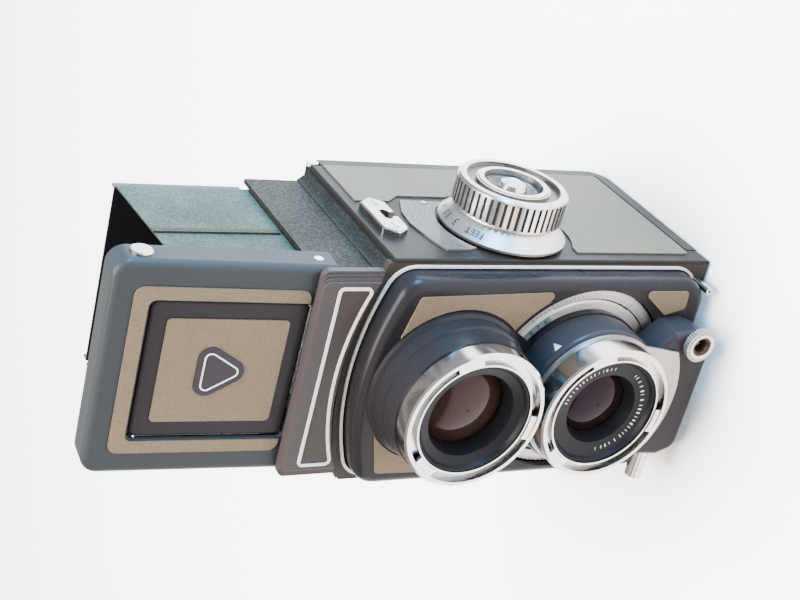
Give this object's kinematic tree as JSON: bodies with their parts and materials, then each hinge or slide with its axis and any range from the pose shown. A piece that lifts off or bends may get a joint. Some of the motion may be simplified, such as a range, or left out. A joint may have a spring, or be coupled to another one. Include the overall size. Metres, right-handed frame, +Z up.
{
  "type": "twin lens reflex camera",
  "caption": "Twin lens reflex roll film camera with two stacked bayonet lenses, side focus knob, hinged back and folding waist level hood.",
  "frame": {"origin": "centre of the tripod socket's mouth, in the middle of the base", "axes": "+Z up, lenses look along -Y, focus knob on the +X side"},
  "size_m": [0.0908, 0.0838, 0.1713],
  "materials": {
    "casing_cast": "die cast, painted matt black inside",
    "body_paint": "fine textured paint, olive taupe",
    "side_paint": "satin paint, blue grey",
    "board_gloss": "gloss enamel, dark slate",
    "leatherette": "grained covering, light greige",
    "hood_paint": "fine crinkle paint, dark teal grey",
    "leaf_enamel": "satin enamel, light teal grey outside and black inside",
    "lid_paint": "satin paint, mid grey",
    "nameplate_enamel": "enamel with a darker panel",
    "chrome": "polished with fine turning marks",
    "satin_metal": "satin anodised",
    "black_metal": "black anodised",
    "steel": "turned steel",
    "brass_bush": "turned",
    "spool_plastic": "moulded",
    "lens_glass": "single coated, brown purple reflections",
    "screen_glass": "ground underneath",
    "mirror_silver": "front silvered",
    "foot_metal": "satin"
  },
  "bodies": {
    "casing": {"main_casing": "casing_cast", "front_plate": "body_paint", "side_plates": "side_paint", "side_leatherette": "leatherette", "depth_plate": "satin_metal", "strap_lugs": "chrome", "body_screws": "chrome", "nameplate": "nameplate_enamel", "front_trim": "chrome", "mirror": "mirror_silver", "focusing_screen": "screen_glass", "screen_frame": "black_metal", "film_guides": "steel", "hood_base": "hood_paint", "hinge_pins": "steel", "counter_window": "screen_glass"},
    "hinged_back": {"back_door": "body_paint", "base_plate": "body_paint", "back_leatherette": "leatherette", "pressure_plate": "black_metal", "tripod_bush": "brass_bush", "feet": "foot_metal"},
    "latch": {"back_latch": "chrome"},
    "take_up": {"take_up_spool": "spool_plastic"},
    "supply": {"supply_spool": "spool_plastic"},
    "advance": {"advance_shaft": "chrome", "advance_knob": "chrome"},
    "supply_knob": {"supply_spool_knob": "chrome"},
    "focus": {"focus_shaft": "chrome", "distance_flange": "satin_metal", "focus_knob": "chrome"},
    "lens_panel": {"lens_board": "board_gloss", "board_leatherette": "leatherette", "viewing_collar": "satin_metal", "shutter_housing": "body_paint", "shutter_faceplate": "satin_metal", "viewing_ring": "chrome", "taking_ring": "chrome", "lens_barrels": "black_metal", "viewing_glass": "lens_glass", "taking_glass": "lens_glass", "shutter_case": "black_metal", "shutter_blades": "steel", "guide_rods": "steel", "flash_socket": "chrome"},
    "speed": {"speed_ring": "chrome"},
    "aperture": {"aperture_ring": "satin_metal"},
    "flash_lock": {"flash_lock_ring": "chrome"},
    "release": {"release_plunger": "chrome"},
    "leaf_right": {"side_leaf_right": "leaf_enamel"},
    "leaf_left": {"side_leaf_left": "leaf_enamel"},
    "leaf_rear": {"rear_leaf": "leaf_enamel"},
    "hood_lid": {"lid": "lid_paint", "lid_leatherette": "leatherette", "lid_rivets": "chrome"},
    "finder": {"finder_flap": "lid_paint", "finder_leatherette": "leatherette", "finder_badge": "chrome"},
    "magnifier": {"magnifier_frame": "black_metal", "magnifier_lens": "lens_glass"}
  },
  "joints": [
    {"name": "lens_panel_slide", "type": "slide", "parent": "casing", "child": "lens_panel", "axis": [0, -1, 0], "range_m": [0, 0.0043]},
    {"name": "focus_turn", "type": "hinge", "parent": "casing", "child": "focus", "pos_m": [0.04, -0.0123, 0.06], "axis": [1, 0, 0], "range_deg": [0, 300]},
    {"name": "film_advance_turn", "type": "hinge", "parent": "casing", "child": "advance", "pos_m": [-0.035, 0.0135, 0.0745], "axis": [1, 0, 0], "continuous": true},
    {"name": "take_up_turn", "type": "hinge", "parent": "casing", "child": "take_up", "pos_m": [0, 0.0135, 0.0745], "axis": [1, 0, 0], "continuous": true},
    {"name": "supply_turn", "type": "hinge", "parent": "casing", "child": "supply", "pos_m": [0, -0.007, 0.0143], "axis": [1, 0, 0], "continuous": true},
    {"name": "supply_knob_pull", "type": "slide", "parent": "casing", "child": "supply_knob", "axis": [-1, 0, 0], "range_m": [0, 0.004], "stiffness_N_per_m": 300, "springref_m": -0.003},
    {"name": "back_open", "type": "hinge", "parent": "casing", "child": "hinged_back", "pos_m": [0, 0.0275, 0.0993], "axis": [1, 0, 0], "range_deg": [0, 100]},
    {"name": "latch_turn", "type": "hinge", "parent": "hinged_back", "child": "latch", "pos_m": [0, 0, 0], "axis": [0, 0, 1], "range_deg": [0, 60]},
    {"name": "leaf_right_fold", "type": "hinge", "parent": "casing", "child": "leaf_right", "pos_m": [0.0268, 0.003, 0.1134], "axis": [0, -1, 0], "range_deg": [0, 90], "stiffness_Nm_per_rad": 0.002, "springref_deg": -34.38},
    {"name": "leaf_left_fold", "type": "hinge", "parent": "casing", "child": "leaf_left", "pos_m": [-0.0268, 0.003, 0.1114], "axis": [0, 1, 0], "range_deg": [0, 90], "stiffness_Nm_per_rad": 0.002, "springref_deg": -34.38},
    {"name": "rear_leaf_fold", "type": "hinge", "parent": "casing", "child": "leaf_rear", "pos_m": [0, 0.0228, 0.1188], "axis": [1, 0, 0], "range_deg": [0, 90], "stiffness_Nm_per_rad": 0.003, "springref_deg": -34.38},
    {"name": "lid_tilt", "type": "hinge", "parent": "casing", "child": "hood_lid", "pos_m": [0, -0.023, 0.118], "axis": [-1, 0, 0], "range_deg": [0, 8], "stiffness_Nm_per_rad": 0.03, "springref_deg": -34.38},
    {"name": "finder_flap_swing", "type": "hinge", "parent": "hood_lid", "child": "finder", "pos_m": [0, -0.02367, 0.15942], "axis": [1, 0, 0], "range_deg": [0, 70], "stiffness_Nm_per_rad": 0.004, "springref_deg": -28.65},
    {"name": "magnifier_swing", "type": "hinge", "parent": "finder", "child": "magnifier", "pos_m": [0, -0.02203, 0.15521], "axis": [1, 0, 0], "range_deg": [0, 86], "stiffness_Nm_per_rad": 0.0008, "springref_deg": -28.65},
    {"name": "speed_turn", "type": "hinge", "parent": "lens_panel", "child": "speed", "pos_m": [0, -0.0335, 0.0397], "axis": [0, 1, 0], "range_deg": [-60, 60]},
    {"name": "aperture_turn", "type": "hinge", "parent": "lens_panel", "child": "aperture", "pos_m": [0, -0.0335, 0.0397], "axis": [0, 1, 0], "range_deg": [-45, 45]},
    {"name": "release_press", "type": "slide", "parent": "lens_panel", "child": "release", "axis": [1, 0, 0], "range_m": [0, 0.003], "stiffness_N_per_m": 250, "springref_m": -0.003},
    {"name": "flash_lock_turn", "type": "hinge", "parent": "lens_panel", "child": "flash_lock", "pos_m": [0.017, -0.048, 0.0102], "axis": [0, 1, 0], "range_deg": [0, 30]}
  ],
  "couplings": [
    {"joint": "focus_turn", "follows": "lens_panel_slide", "rad_per_m": 1217},
    {"joint": "take_up_turn", "follows": "film_advance_turn", "ratio": 1}
  ]
}
